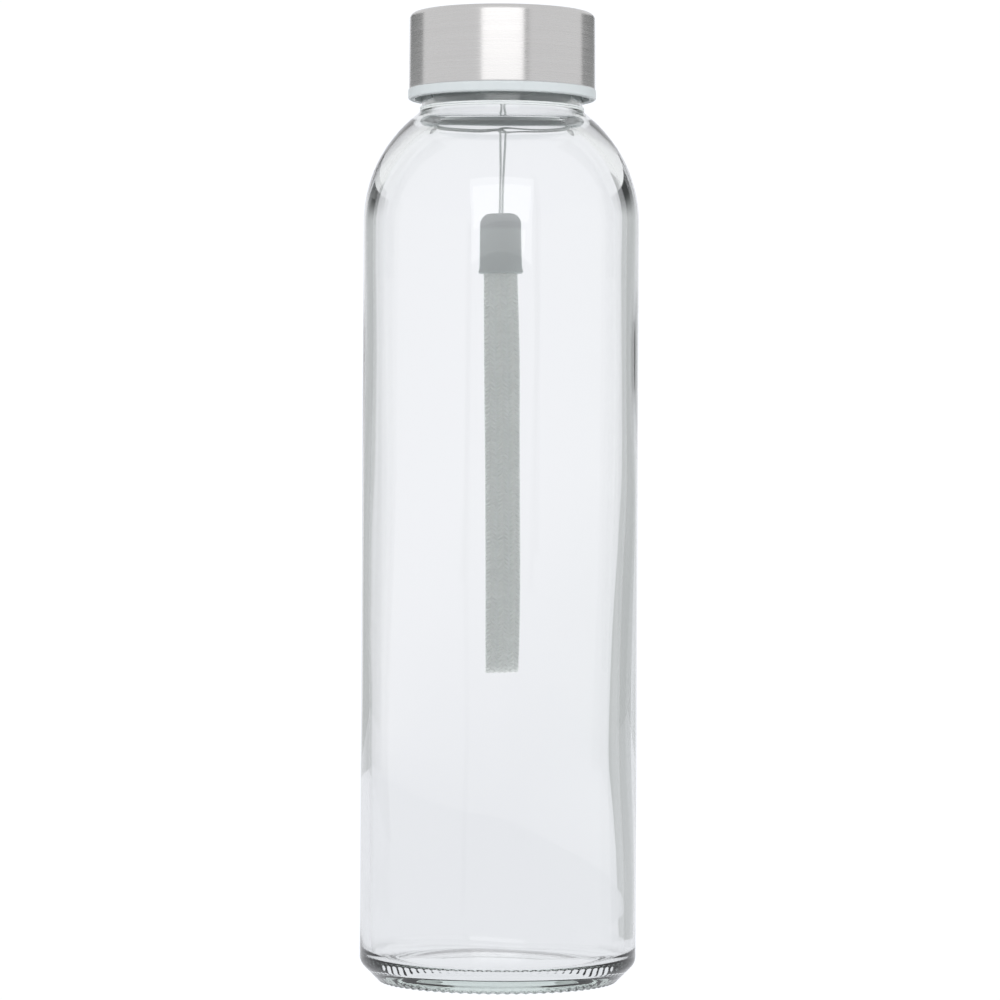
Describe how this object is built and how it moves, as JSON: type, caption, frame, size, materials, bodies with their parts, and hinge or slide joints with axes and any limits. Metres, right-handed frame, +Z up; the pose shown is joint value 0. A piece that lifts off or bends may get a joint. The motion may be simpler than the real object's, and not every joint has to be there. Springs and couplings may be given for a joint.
{
  "type": "glass water bottle",
  "caption": "Clear glass water bottle with a round shoulder, a brushed steel screw lid and a braided wrist strap hitched round its neck.",
  "frame": {"origin": "centre of the base, on the plane that the bottle stands on", "axes": "+Z up along the bottle's axis, the strap hangs on the +Y side, +X across"},
  "size_m": [0.063, 0.0683, 0.2211],
  "materials": {
    "soda_lime_glass": "fire-polished, clear",
    "brushed_stainless": "fine brushing round the side",
    "white_polypropylene": "moulded, satin",
    "clear_silicone": "moulded, matt",
    "nylon_string": "fine braided string",
    "grey_soft_plastic": "moulded, matt",
    "braided_webbing": "flat chevron braid"
  },
  "bodies": {
    "bottle": {"glass_bottle": "soda_lime_glass"},
    "seal": {"lid_seal": "clear_silicone"},
    "lid": {"lid_shell": "brushed_stainless", "lid_liner": "white_polypropylene"},
    "neck_string": {"string_neck_loop": "nylon_string"},
    "string": {"string_drop": "nylon_string"},
    "strap": {"strap_ferrule": "grey_soft_plastic", "strap_webbing": "braided_webbing"}
  },
  "joints": [
    {"name": "lid_lift", "type": "slide", "parent": "bottle", "child": "seal", "axis": [0, 0, 1], "range_m": [0, 0.0255]},
    {"name": "lid_turn", "type": "hinge", "parent": "seal", "child": "lid", "pos_m": [0, 0, 0.2125], "axis": [0, 0, 1], "range_deg": [0, 2160]},
    {"name": "string_turn", "type": "hinge", "parent": "bottle", "child": "neck_string", "pos_m": [0, 0, 0.2002], "axis": [0, 0, 1], "continuous": true},
    {"name": "string_swing", "type": "hinge", "parent": "neck_string", "child": "string", "pos_m": [0, 0.02, 0.2002], "axis": [1, 0, 0], "range_deg": [0, 60]},
    {"name": "strap_swing", "type": "hinge", "parent": "string", "child": "strap", "pos_m": [0, 0.0343, 0.1783], "axis": [1, 0, 0], "range_deg": [0, 90]}
  ],
  "couplings": [
    {"joint": "lid_lift", "follows": "lid_turn", "m_per_rad": 0.00067375}
  ]
}
